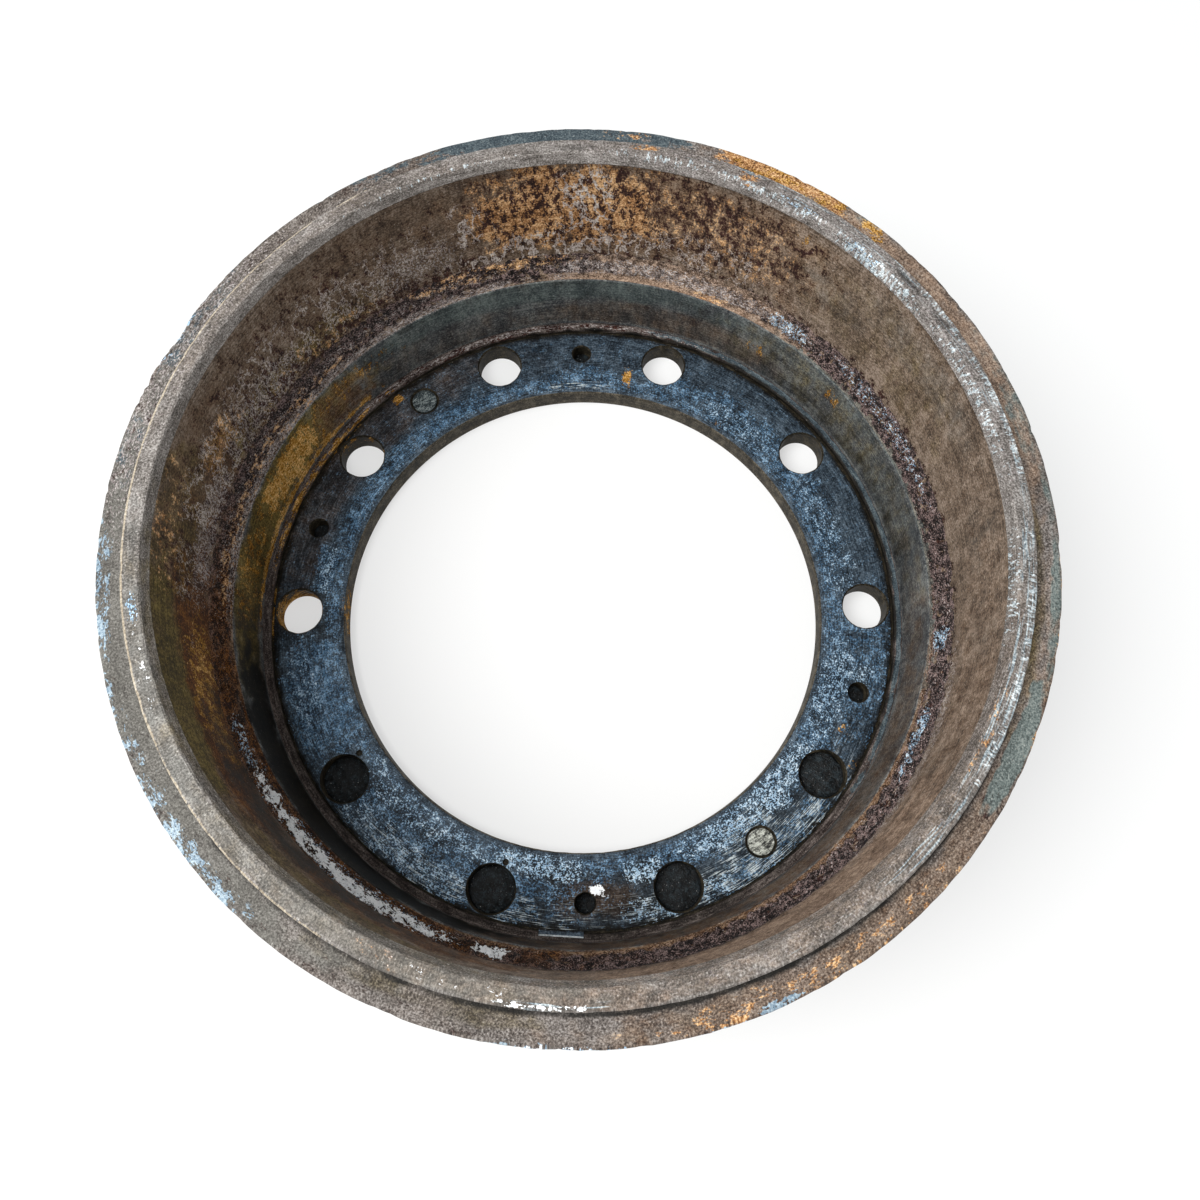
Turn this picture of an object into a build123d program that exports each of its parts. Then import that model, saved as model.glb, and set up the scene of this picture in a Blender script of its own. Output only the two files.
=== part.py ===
from build123d import *
import os
from math import cos, radians, sin, tan

# Brake drum for a heavy axle: one iron casting with its turned faces, and two flush plugs in its web.
# The drum stands on its wheel face with its mouth up. The origin is the centre of the wheel face, and +Z
# is the axis of the drum, towards the mouth. Angles are counted anticlockwise from +X, seen from the mouth.

# ---- Web: the disc between the hub flange and the wheel ----
web_thickness = 14.0
bolt_circle_diameter = 335.0
stud_count = 10
stud_hole_diameter = 26.0
stud_hole_chamfer = 1.0
bore_rim = 14.0  # iron between a stud hole and the hub's bore
hub_bore_chamfer = 0.8

# ---- Small holes on the bolt circle: two groups of three, each hole midway between two stud holes ----
plug_gaps = (2, 7)  # a plug fills the hole in the gap after this stud hole, with an open hole on either side
screw_hole_diameter = 11.0
screw_hole_chamfer = 0.7
plug_diameter = 15.0
plug_clearance = 0.02
plug_chamfer = 0.25
plug_countersink_diameter = 18.0
plug_setback = 0.05

# ---- Recess that centres the drum on the hub flange ----
recess_rim = 2.7  # hub face between a stud hole and the recess's edge
relief_width = 1.1
relief_depth = 1.6
ledge_height = 2.5
ledge_width = 4.3
ledge_bevel = 0.9

# ---- Flat milled into the ledge, level with the hub face ----
flat_angle = 229.9
flat_length = 24.6
flat_reach = 1.9

# ---- Inside of the neck, and the shoulder up to the shoes' track ----
neck_draft = 1.6
neck_height = 49.5
neck_foot_bevel = 1.0
shoulder_land = 2.6
shoulder_land_rise = 1.0
shoulder_width = 5.6
shoulder_height = 9.5

# ---- Track worn by the shoes, and the lip that they leave at the mouth ----
track_width = 83.5
track_runout = 0.8
lip_step = 2.8
lip_chamfer_height = 5.8
lip_chamfer_width = 3.0
lip_land = 9.3
lip_fall = 1.8

# ---- Band around the mouth ----
band_step = 9.9
band_drop = 9.6
band_height = 40.0
band_top_fall = 0.6
band_top_bevel = 1.6
band_foot_bevel = 3.0
band_foot_angle = 35.0

# ---- Outside of the casting ----
barrel_wall = 15.5
barrel_draft = 1.2
barrel_foot_drop = 6.0
shoulder_angle = 48.0
neck_wall = 13.5
outside_fillet = 10.0
foot_wall = 9.5
wheel_face_chamfer = 3.0

# ---- Damage: scoops in the band's top edge, and drilled nicks beside two stud holes ----
rim_scoops = ((116.5, 36.0, 2.6), (230.5, 16.0, 1.7))  # (angle, length, depth from the sharp corner)
scoop_lean = 40.0
nick_diameter = 3.3
nick_depth = 2.5
nick_reach = 16.3  # from the middle of the stud hole
nick_places = ((5, 206.3), (6, 168.9))  # (stud hole, direction about its middle)

# ---- How far a cutter runs past the face that it cuts ----
cutter_overrun = 1.0

# ---- Heights and radii that follow ----
hub_face = web_thickness
ledge_top = hub_face + ledge_height
neck_top = hub_face + neck_height
shoulder_top = neck_top + shoulder_land_rise + shoulder_height
track_top = shoulder_top + track_width
lip_bottom = track_top + track_runout
lip_top = lip_bottom + lip_chamfer_height
lip_edge = lip_top - lip_fall
band_top = lip_edge - band_drop
band_bottom = band_top - band_height

bolt_circle_radius = bolt_circle_diameter / 2
bore_radius = bolt_circle_radius - stud_hole_diameter / 2 - bore_rim
recess_radius = bolt_circle_radius + stud_hole_diameter / 2 + recess_rim
neck_foot_radius = recess_radius + ledge_width
neck_top_radius = neck_foot_radius + (neck_top - ledge_top) * tan(radians(neck_draft))
land_radius = neck_top_radius + shoulder_land
track_radius = land_radius + shoulder_width
lip_radius = track_radius - lip_step
lip_crest_radius = lip_radius + lip_chamfer_width
lip_outer_radius = lip_crest_radius + lip_land
barrel_top_radius = track_radius + barrel_wall
band_radius = barrel_top_radius + band_step
wheel_face_radius = neck_foot_radius + foot_wall
stud_pitch = 360 / stud_count


def on_circle(angle, radius, height=0.0):
    """Place at an angle and a radius about the drum's axis, turned to face outwards."""
    return Location((radius * cos(radians(angle)), radius * sin(radians(angle)), height), (0, 0, angle))


def outside_corners():
    """Corners of the outside, from the wheel face up to the band: place, and how the corner is eased."""
    neck_foot = wheel_face_radius + wheel_face_chamfer
    neck_outer = neck_top_radius + neck_wall
    barrel_top_height = band_bottom - band_step * tan(radians(band_foot_angle))
    barrel_foot_height = shoulder_top - barrel_foot_drop
    barrel_length = barrel_top_height - barrel_foot_height
    barrel_foot_radius = barrel_top_radius - barrel_length * tan(radians(barrel_draft))
    neck_outer_height = barrel_foot_height - (barrel_foot_radius - neck_outer) * tan(radians(shoulder_angle))
    return [
        ((wheel_face_radius, 0.0), None, 0),
        ((neck_foot, wheel_face_chamfer), None, 0),
        ((neck_outer, neck_outer_height), fillet, outside_fillet),
        ((barrel_foot_radius, barrel_foot_height), fillet, outside_fillet),
        ((barrel_top_radius, barrel_top_height), None, 0),
        ((band_radius, band_bottom), chamfer, band_foot_bevel),
        ((band_radius, band_top - band_top_fall), chamfer, band_top_bevel),
        ((lip_outer_radius, band_top), None, 0),
    ]


def inside_corners():
    """Corners of the lip and the inside, from the lip's outer edge down to the bore."""
    groove_radius = recess_radius - relief_width
    return [
        ((lip_outer_radius, lip_edge), None, 0),
        ((lip_crest_radius, lip_top), None, 0),
        ((lip_radius, lip_bottom), None, 0),
        ((track_radius, track_top), None, 0),
        ((track_radius, shoulder_top), None, 0),
        ((land_radius, neck_top + shoulder_land_rise), None, 0),
        ((neck_top_radius, neck_top), None, 0),
        ((neck_foot_radius, ledge_top), chamfer, neck_foot_bevel),
        ((recess_radius, ledge_top), chamfer, ledge_bevel),
        ((recess_radius, hub_face - relief_depth), None, 0),
        ((groove_radius, hub_face - relief_depth), None, 0),
        ((groove_radius, hub_face), None, 0),
        ((bore_radius + hub_bore_chamfer, hub_face), None, 0),
        ((bore_radius, hub_face - hub_bore_chamfer), None, 0),
        ((bore_radius, 0.0), None, 0),
    ]


def turned_body():
    """Section of the casting, with its corners eased, turned about the axis."""
    corners = outside_corners() + inside_corners()
    section = make_face(Polyline(*[place for place, _, _ in corners], close=True))
    for place, ease, size in corners:
        if ease:
            section = ease(section.vertices().sort_by_distance((*place, 0))[0], size)
    return revolve(Plane.XZ * section, Axis.Z)


def round_hole(diameter, edge_chamfer):
    """Cutter for a hole through the web, with a chamfer at the hub face."""
    radius = diameter / 2
    outline = Polyline(
        (0, -cutter_overrun),
        (radius, -cutter_overrun),
        (radius, hub_face - edge_chamfer),
        (radius + edge_chamfer + cutter_overrun, hub_face + cutter_overrun),
        (0, hub_face + cutter_overrun),
        close=True,
    )
    return revolve(Plane.XZ * make_face(outline), Axis.Z)


def flat_block(height, side):
    """Block over the flat in the ledge, from within the hub face out to where the cutter stopped."""
    inner = recess_radius - 2 * relief_width
    outer = recess_radius + flat_reach
    block = Box(outer - inner, flat_length, height, align=(Align.MIN, Align.CENTER, side))
    return on_circle(flat_angle, inner, hub_face) * block


def rim_scoop(angle, length, depth):
    """Scoop in the band's top edge: a large round cutter, leaning across the corner."""
    cutter_radius = (length**2 / 4 + depth**2) / (2 * depth)
    cutter = Cylinder(cutter_radius, 2 * band_drop)
    lean = Rot(0, -scoop_lean, 0)
    return on_circle(angle, band_radius, band_top) * lean * Pos(cutter_radius - depth, 0, 0) * cutter


def gap_angle(gap):
    """Angle midway between a stud hole and the next."""
    return (gap + 0.5) * stud_pitch


def make_brake_drum():
    """The casting, with every hole, the flat and the damage cut into it."""
    drum = turned_body() + flat_block(relief_depth + relief_width, Align.MAX)
    drum -= flat_block(2 * ledge_height, Align.MIN)
    stud_hole = round_hole(stud_hole_diameter, stud_hole_chamfer)
    screw_hole = round_hole(screw_hole_diameter, screw_hole_chamfer)
    plug_bore = plug_diameter + 2 * plug_clearance
    plug_hole = round_hole(plug_bore, (plug_countersink_diameter - plug_bore) / 2)
    nick = Cylinder(nick_diameter / 2, 2 * nick_depth)
    for index in range(stud_count):
        drum -= on_circle(index * stud_pitch, bolt_circle_radius) * stud_hole
    for gap in plug_gaps:
        drum -= on_circle(gap_angle(gap), bolt_circle_radius) * plug_hole
        drum -= [on_circle(gap_angle(gap + side), bolt_circle_radius) * screw_hole for side in (-1, 1)]
    for index, direction in nick_places:
        hole_middle = on_circle(index * stud_pitch, bolt_circle_radius, hub_face)
        drum -= hole_middle * on_circle(direction, nick_reach) * nick
    return drum - [rim_scoop(*scoop) for scoop in rim_scoops]


def make_plug(gap):
    """Threaded plug turned off level with the hub face, drawn at its thread's outer diameter."""
    length = web_thickness - 2 * plug_setback
    body = Cylinder(plug_diameter / 2, length, align=(Align.CENTER, Align.CENTER, Align.MIN))
    body = chamfer(body.edges().sort_by(Axis.Z)[-1], plug_chamfer)
    return on_circle(gap_angle(gap), bolt_circle_radius, plug_setback) * body


os.makedirs("parts", exist_ok=True)
nodes = {
    "brake_drum": make_brake_drum(),
    "plug_far": make_plug(plug_gaps[0]),
    "plug_near": make_plug(plug_gaps[1]),
}
for name, solid in nodes.items():
    solid.label = name
    export_step(solid, f"parts/{name}.step")
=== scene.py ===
from math import cos, log2, pi, radians, sin

import bmesh
import bpy
import numpy as np
from mathutils import Euler, Matrix, Vector, noise


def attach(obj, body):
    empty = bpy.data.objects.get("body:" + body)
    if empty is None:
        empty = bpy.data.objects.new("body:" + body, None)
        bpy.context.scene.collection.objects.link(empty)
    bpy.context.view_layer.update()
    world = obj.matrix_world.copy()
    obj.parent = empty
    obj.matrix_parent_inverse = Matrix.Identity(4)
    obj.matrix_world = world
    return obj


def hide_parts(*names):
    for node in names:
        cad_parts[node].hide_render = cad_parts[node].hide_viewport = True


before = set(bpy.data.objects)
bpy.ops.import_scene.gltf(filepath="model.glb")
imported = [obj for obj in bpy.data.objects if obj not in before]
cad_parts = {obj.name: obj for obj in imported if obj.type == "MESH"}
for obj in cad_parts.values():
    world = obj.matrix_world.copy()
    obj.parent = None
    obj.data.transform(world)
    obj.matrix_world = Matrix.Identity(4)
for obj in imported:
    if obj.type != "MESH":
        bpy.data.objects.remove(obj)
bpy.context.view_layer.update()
mm = 0.001  # m
scene = bpy.context.scene


def linearColour(hexColour):
    # sRGB hex to the linear values that the shaders work in
    parts = [int(hexColour[i:i + 2], 16) / 255 for i in (1, 3, 5)]
    return [p / 12.92 if p <= 0.04045 else ((p + 0.055) / 1.055) ** 2.4 for p in parts] + [1.0]


def addNode(tree, kind, links=None, **settings):
    # links: socket -> a value, a hex colour, a node or one of its outputs
    node = tree.nodes.new("ShaderNode" + kind)
    for name, value in settings.items():
        setattr(node, name, value)
    for socket, source in (links or {}).items():
        if isinstance(source, bpy.types.Node):
            source = source.outputs[0]
        if isinstance(source, bpy.types.NodeSocket):
            tree.links.new(source, node.inputs[socket])
        elif isinstance(source, str):
            node.inputs[socket].default_value = linearColour(source)
        else:
            node.inputs[socket].default_value = source
    return node


def emptyTree(owner):
    owner.use_nodes = True
    owner.node_tree.nodes.clear()
    return owner.node_tree


def meshFrom(bm, name):
    mesh = bpy.data.meshes.new(name)
    bm.to_mesh(mesh)
    bm.free()
    return mesh


def finishPiece(mesh, name, smoothAngle):
    # object at the origin, riding on the drum's one body
    mesh.name = name
    piece = bpy.data.objects.new(name, mesh)
    scene.collection.objects.link(piece)
    mesh.shade_smooth()
    mesh.set_sharp_from_angle(angle=radians(smoothAngle))
    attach(piece, "root")
    return piece


camera = {
    "place": (-88.243, -128.772, 598.854),  # mm
    "turn": (15.4146, -0.3957, -36.6080),   # degrees
    "lens": 30.657, "sensor": 36,           # mm, square picture
    "clip": (0.01, 50),                     # m
}
lamps = {
    # azimuth and height in degrees, distance and size in m, power in W
    "keyLamp": {"azimuth": 160, "height": 60, "distance": 2.2, "size": 1.6, "power": 60},
    "fillLamp": {"azimuth": 250, "height": 50, "distance": 2.4, "size": 2.0, "power": 6},
}
backdrop = {
    "sky": "#EEF2F6", "skyStrength": 0.62, "white": "#FFFFFF", "whiteStrength": 1.0,
    "floor": "#E9E9E7", "floorRadius": 7.0, "floorHeight": -0.0004,  # m
    # the floor shows as this much white near the object, and as all white further out, m
    "nearWhite": 0.55, "nearTo": 0.6, "whiteFrom": 2.4,
}


def makeCamera():
    data = bpy.data.cameras.new("camera")
    data.sensor_fit = "HORIZONTAL"
    data.sensor_width = camera["sensor"]
    data.lens = camera["lens"]
    data.clip_start, data.clip_end = camera["clip"]
    holder = bpy.data.objects.new("camera", data)
    holder.location = Vector(camera["place"]) * mm
    holder.rotation_euler = Euler([radians(a) for a in camera["turn"]], "XYZ")
    scene.collection.objects.link(holder)
    scene.camera = holder


def makeLamp(name, azimuth, height, distance, size, power):
    data = bpy.data.lights.new(name, "AREA")
    data.shape, data.size, data.energy = "DISK", size, power
    lamp = bpy.data.objects.new(name, data)
    away = Vector((cos(radians(azimuth)) * cos(radians(height)), sin(radians(azimuth)) * cos(radians(height)),
                   sin(radians(height))))
    lamp.location = away * distance
    lamp.rotation_euler = away.to_track_quat("Z", "Y").to_euler()
    scene.collection.objects.link(lamp)


def seenDirectly(tree):
    # 1 where the camera, a reflection or a clear body looks at the backdrop, 0 where it lights the object
    rays = addNode(tree, "LightPath").outputs
    mirrored = addNode(tree, "Math", {0: rays["Is Glossy Ray"], 1: rays["Is Transmission Ray"]}, operation="MAXIMUM")
    return addNode(tree, "Math", {0: rays["Is Camera Ray"], 1: mirrored}, operation="MAXIMUM")


def makeWorld():
    world = bpy.data.worlds.new("sky")
    tree = emptyTree(world)
    seen = seenDirectly(tree)
    sky = addNode(tree, "Background", {"Color": backdrop["sky"], "Strength": backdrop["skyStrength"]})
    white = addNode(tree, "Background", {"Color": backdrop["white"], "Strength": backdrop["whiteStrength"]})
    mix = addNode(tree, "MixShader", {0: seen, 1: sky, 2: white})
    addNode(tree, "OutputWorld", {"Surface": mix})
    scene.world = world


def makeFloor():
    bm = bmesh.new()
    bmesh.ops.create_circle(bm, cap_ends=True, segments=96, radius=backdrop["floorRadius"])
    mesh = meshFrom(bm, "floor")
    floor = bpy.data.objects.new("floor", mesh)
    floor.location.z = backdrop["floorHeight"]
    scene.collection.objects.link(floor)
    # Matt studio paint: an even pale grey that keeps the soft shadow and fades to white further out.
    paint = bpy.data.materials.new("matt pale floor")
    tree = emptyTree(paint)
    place = addNode(tree, "TexCoord").outputs["Object"]
    away = addNode(tree, "VectorMath", {0: place}, operation="LENGTH").outputs["Value"]
    lift = addNode(tree, "MapRange", {"Value": away, "From Min": backdrop["nearTo"],
                                      "From Max": backdrop["whiteFrom"], "To Min": backdrop["nearWhite"],
                                      "To Max": 1.0}).outputs[0]
    share = addNode(tree, "Math", {0: seenDirectly(tree), 1: lift}, operation="MULTIPLY")
    matt = addNode(tree, "BsdfDiffuse", {"Color": backdrop["floor"]})
    glow = addNode(tree, "Emission", {"Color": backdrop["white"], "Strength": backdrop["whiteStrength"]})
    mix = addNode(tree, "MixShader", {0: share, 1: matt, 2: glow})
    addNode(tree, "OutputMaterial", {"Surface": mix})
    mesh.materials.append(paint)


makeCamera()
for lampName, lamp in lamps.items():
    makeLamp(lampName, **lamp)
makeWorld()
makeFloor()
scene.view_settings.view_transform = "Standard"
print("camera, lamps and floor made")

casting = {
    "around": 576,  # sections round the axis
    # radius, height and rounding of each corner of the section, mm, anticlockwise from the bore's foot
    "corners": [
        (140.5, 0.0, 0.3), (197.0, 0.0, 0.5), (200.0, 3.0, 0.6), (202.313, 57.55, 10.0), (211.722, 68.0, 10.0),
        (212.513, 105.768, 6.0), (222.413, 112.7, 3.5), (222.413, 152.1, 2.2), (206.513, 152.7, 0.7),
        (206.513, 162.3, 0.7), (197.213, 164.1, 0.6), (194.213, 158.3, 0.5), (197.013, 157.5, 0.4),
        (197.013, 74.0, 0.6), (191.413, 64.5, 0.6), (188.813, 63.5, 0.7), (187.5, 16.5, 1.2), (183.2, 16.5, 0.9),
        (183.2, 12.4, 0.2), (182.1, 12.4, 0.2), (182.1, 14.0, 0.1), (140.5, 14.0, 0.8)],
    "roundSteps": (0.7, 2, 3),      # a rounding gets one segment more past each of these, mm
    "wideRound": 5, "wideCut": 0.4,  # a rounding wider than this, mm, starts at this share of its radius
    # greatest spacing of the rings in each zone, mm
    "spacing": {"wheelFace": 20, "bore": 5, "hubFace": 4.2, "ledge": 1.7, "neck": 3.6, "shoulder": 2.4, "track": 3.3,
                "lip": 1.4, "rim": 1.8, "outside": 9},
    "webTop": 14.0, "cutDepth": 16.0,  # height of the hub face, and depth of the hole cutters below it, mm
    "studHole": (13.0, 1.0), "screwHole": (5.5, 0.7), "plugHole": (7.52, 1.48),  # radius and chamfer, mm
    "boltCircle": 167.5, "studAngles": range(0, 360, 36), "screwAngles": (54, 126, 234, 306),
    "plugAngles": (90, 270),
    "nick": (1.65, 0.2, 2.5), "nickPlaces": ((180, 206.3), (216, 168.9)),  # radius, chamfer and depth; stud, way
    "nickReach": 16.3,  # from the stud hole's centre, mm
    "flat": (229.9, 24.6, 181.0, 185.1),  # angle, length, inner and outer radius
    "flatFill": (11.3, 14.0), "flatCut": (14.0, 19.0, 0.6),  # bottom and top, and the cut's chamfer, mm
    # scoops knocked out of the rim: angle, length, depth from the corner; and how far the cut leans, degrees
    "scoops": ((116.5, 36.0, 2.6), (230.5, 16.0, 1.7)), "rimCorner": (222.413, 152.1), "scoopLean": 40,
    "smoothAngle": 35,
}
noLimit = 1000
# zones of the section: each takes the points between its radii and between its heights, mm, and the first that
# fits counts; what is left is the outside
zoneBounds = (
    ("wheelFace", 0, 200, -noLimit, 0.2), ("bore", 0, 141.4, -noLimit, noLimit),
    ("hubFace", 0, 182.15, 13.9, noLimit), ("hubFace", 0, 185.3, 13.95, 14.05),
    ("flatEdge", 184.4, 185.5, 14.05, 14.6), ("ledge", 0, 187.9, -noLimit, 17.8),
    ("neck", 0, 189.4, -noLimit, 63.3), ("shoulder", 0, 197.3, -noLimit, 74.2),
    ("track", 0, 197.3, -noLimit, 157.6), ("lip", 0, 206.8, 157, noLimit), ("rim", 0, noLimit, 139, noLimit),
    ("outside", 0, noLimit, -noLimit, noLimit))
holeWalls = (145, 184.5, 0.05, 13.98)  # between these radii and heights, mm, a face is the wall of a hole


def zoneOf(r, z):
    # which machined or cast zone of the section a point in mm lies in
    for zone, inner, outer, low, high in zoneBounds:
        if inner < r < outer and low < z < high:
            return zone


def onCircle(angle, radius):
    return Vector((radius * cos(radians(angle)), radius * sin(radians(angle)), 0))


def turnBy(bm, verts, turn, axis="Z"):
    bmesh.ops.rotate(bm, verts=verts, cent=(0, 0, 0), matrix=Matrix.Rotation(turn, 3, axis))


def roundCutter(bm, centre, radius, chamferSize, top, depth):
    # a turned cutter: straight shank, then a cone that leaves the chamfer at height top
    over = 1.0  # mm
    points = [(0, top - depth), (radius, top - depth), (radius, top - chamferSize),
              (radius + chamferSize + over, top + over), (0, top + over)]
    verts = [bm.verts.new((r * mm, 0, z * mm)) for r, z in points]
    edges = [bm.edges.new(pair) for pair in zip(verts, verts[1:])]
    bmesh.ops.spin(bm, geom=verts + edges, axis=(0, 0, 1), cent=(0, 0, 0), angle=2 * pi, steps=48, use_merge=True)
    made = [v for v in bm.verts if not v.tag]  # the earlier cutters carry a tag
    bmesh.ops.translate(bm, verts=made, vec=centre * mm)
    for vert in made:
        vert.tag = True


def cutterObject(bm, name):
    bmesh.ops.remove_doubles(bm, verts=bm.verts, dist=1e-6)
    bmesh.ops.recalc_face_normals(bm, faces=bm.faces)
    cutter = bpy.data.objects.new(name, meshFrom(bm, name))
    scene.collection.objects.link(cutter)
    return cutter


def flatBlock(low, high, chamfer=0):
    # a block over the flat; a chamfer on its lower outer edge leaves a strip along the flat, painted bright as a
    # highlight
    angle, length, inner, outer = casting["flat"]
    bm = bmesh.new()
    bmesh.ops.create_cube(bm, size=1)
    bmesh.ops.scale(bm, verts=bm.verts, vec=((outer - inner) * mm, length * mm, (high - low) * mm))
    bmesh.ops.translate(bm, verts=bm.verts, vec=((outer + inner) / 2 * mm, 0, (high + low) / 2 * mm))
    if chamfer:
        slack = 0.1 * mm
        edges = [edge for edge in bm.edges
                 if all(v.co.x > inner * mm + slack and v.co.z < low * mm + slack for v in edge.verts)]
        bmesh.ops.bevel(bm, geom=edges, offset=chamfer * mm, offset_type="OFFSET", segments=1, profile=0.5,
                        affect="EDGES", material=-1)
    turnBy(bm, bm.verts, radians(angle))
    return bm


def vertsIn(geometry):
    return [item for item in geometry if isinstance(item, bmesh.types.BMVert)]


def spinInSlices(bm, steps, slices=16):
    # spins one slice of the full turn, then repeats it round the axis: much quicker than one long spin
    bmesh.ops.spin(bm, geom=bm.verts[:] + bm.edges[:], axis=(0, 0, 1), cent=(0, 0, 0), angle=2 * pi / slices,
                   steps=steps // slices)
    for edge in [e for e in bm.edges if not e.link_faces]:
        bm.edges.remove(edge)
    firstSlice = bm.verts[:] + bm.edges[:] + bm.faces[:]
    for i in range(1, slices):
        copied = bmesh.ops.duplicate(bm, geom=firstSlice)["geom"]
        turnBy(bm, vertsIn(copied), 2 * pi * i / slices)
    bmesh.ops.remove_doubles(bm, verts=bm.verts, dist=2e-5)


def scoopCutters():
    # large round cutters that lean across the rim's corner
    bm = bmesh.new()
    cornerRadius, cornerHeight = casting["rimCorner"]
    for angle, length, depth in casting["scoops"]:
        radius = (length ** 2 / 4 + depth ** 2) / (2 * depth)  # of an arc that long and that deep
        verts = bmesh.ops.create_cone(bm, cap_ends=True, segments=128, radius1=radius * mm, radius2=radius * mm,
                                      depth=20 * mm)["verts"]
        bmesh.ops.translate(bm, verts=verts, vec=((radius - depth) * mm, 0, 0))
        turnBy(bm, verts, -radians(casting["scoopLean"]), "Y")
        bmesh.ops.translate(bm, verts=verts, vec=(cornerRadius * mm, 0, cornerHeight * mm))
        turnBy(bm, verts, radians(angle))
    return bm


def turnSection():
    bm = bmesh.new()
    verts = [bm.verts.new((r * mm, 0, z * mm)) for r, z, _ in casting["corners"]]
    for pair in zip(verts, verts[1:] + verts[:1]):
        bm.edges.new(pair)
    for vert, (_, _, rounding) in zip(verts, casting["corners"]):
        segments = 1 + sum(rounding > step for step in casting["roundSteps"])
        share = casting["wideCut"] if rounding > casting["wideRound"] else 1
        bmesh.ops.bevel(bm, geom=[vert], offset=rounding * mm * share, offset_type="OFFSET", segments=segments,
                        profile=0.5, affect="VERTICES", material=-1)
    for edge in list(bm.edges):
        middle = (edge.verts[0].co + edge.verts[1].co) / 2 / mm
        cuts = int(edge.calc_length() / mm / casting["spacing"][zoneOf(middle.x, middle.z)])
        if cuts:
            bmesh.ops.subdivide_edges(bm, edges=[edge], cuts=cuts)
    print("section with", len(bm.verts), "rings")
    spinInSlices(bm, casting["around"])
    return cutterObject(bm, "turnedBlank")


def cutHoles(blank):
    holes = bmesh.new()
    for kind in ("stud", "screw", "plug"):
        for angle in casting[kind + "Angles"]:
            roundCutter(holes, onCircle(angle, casting["boltCircle"]), *casting[kind + "Hole"], casting["webTop"],
                        casting["cutDepth"])
    nicks = bmesh.new()
    radius, chamferSize, depth = casting["nick"]
    for angle, direction in casting["nickPlaces"]:
        place = onCircle(angle, casting["boltCircle"]) + onCircle(angle + direction, casting["nickReach"])
        roundCutter(nicks, place, radius, chamferSize, casting["webTop"], depth)
    steps = [(cutterObject(flatBlock(*casting["flatFill"]), "flatFill"), "UNION"),
             (cutterObject(flatBlock(*casting["flatCut"]), "flatCut"), "DIFFERENCE"),
             (cutterObject(holes, "holeCutters"), "DIFFERENCE"), (cutterObject(nicks, "nickCutters"), "DIFFERENCE"),
             (cutterObject(scoopCutters(), "scoopCutters"), "DIFFERENCE")]
    for cutter, operation in steps:
        step = blank.modifiers.new(cutter.name, "BOOLEAN")
        step.object, step.operation, step.solver = cutter, operation, "MANIFOLD"
    bpy.context.view_layer.update()
    mesh = bpy.data.meshes.new_from_object(blank.evaluated_get(bpy.context.evaluated_depsgraph_get()))
    for thing in [blank] + [cutter for cutter, _ in steps]:
        bpy.data.objects.remove(thing)
    return mesh


wear = {
    # rough skin of the iron: how deep its hollows go and how long its lumps are, mm
    "skin": {"bore": (0.2, 6), "hubFace": (0.04, 12), "ledge": (0.3, 4), "neck": (0.18, 16), "shoulder": (0.5, 6),
             "track": (0.22, 9), "lip": (0.18, 7), "rim": (0.28, 9), "outside": (0.4, 12)},
    # worn edges: radius, height, how far the wear reaches and how deep it bites, mm, and its length round the edge
    "edges": ((206.513, 162.3, 1.5, 0.45, 6), (222.0, 151.8, 2.6, 0.6, 7), (197.213, 164.1, 1.2, 0.35, 5),
              (140.8, 14.0, 1.0, 0.3, 5), (183.0, 16.5, 1.2, 0.4, 4)),
    # how noise turns into hollows: level, gain and greatest depth as a share of the depth given
    "skinHollows": (0.5, 0.8, 1.4), "edgeBites": (-0.3, 1.6, 1), "tornHollows": (0.3, 1, 1),
    # torn iron in the scoops: inner radius, lowest, highest and grain, mm, and its depth as a share of the scoop's
    "torn": (208, 140, 153.5), "tornGrain": 3.2, "tornDepth": 0.35,
    "bandSide": (222, 0.03), "footTo": 0.4,  # past this radius worn by so much; the foot stays flat to here, mm
}


def vectorsOf(items, name):
    out = np.empty(len(items) * 3)
    items.foreach_get(name, out)
    return out.reshape(-1, 3)


def pointsOf(mesh):
    return vectorsOf(mesh.vertices, "co") / mm


def movePoints(mesh, points):
    mesh.vertices.foreach_set("co", (points * mm).ravel())
    mesh.update()


def noiseAt(points, size, seed, octaves=1):
    # smooth noise with features of that size in mm, about -1 to 1, one value for each point in mm
    shift = Vector((seed * 17.3, seed * 5.1, seed * 9.7))  # far enough that no two seeds look alike
    if octaves == 1:
        return np.array([noise.noise(Vector(p) / size + shift) for p in points])
    return np.array([noise.fractal(Vector(p) / size + shift, 0.8, 2.1, octaves) for p in points])


def hollowsAt(points, size, seed, level, gain, most):
    return np.clip(level + gain * noiseAt(points, size, seed, 3), 0, most)


def polarOf(points):
    angle = np.degrees(np.arctan2(points[:, 1], points[:, 0]))
    return angle, np.hypot(points[:, 0], points[:, 1]), points[:, 2]


def turnFrom(angle, middle):
    # degrees from one angle to another the short way, -180 to 180
    return (angle - middle + 180) % 360 - 180


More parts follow.
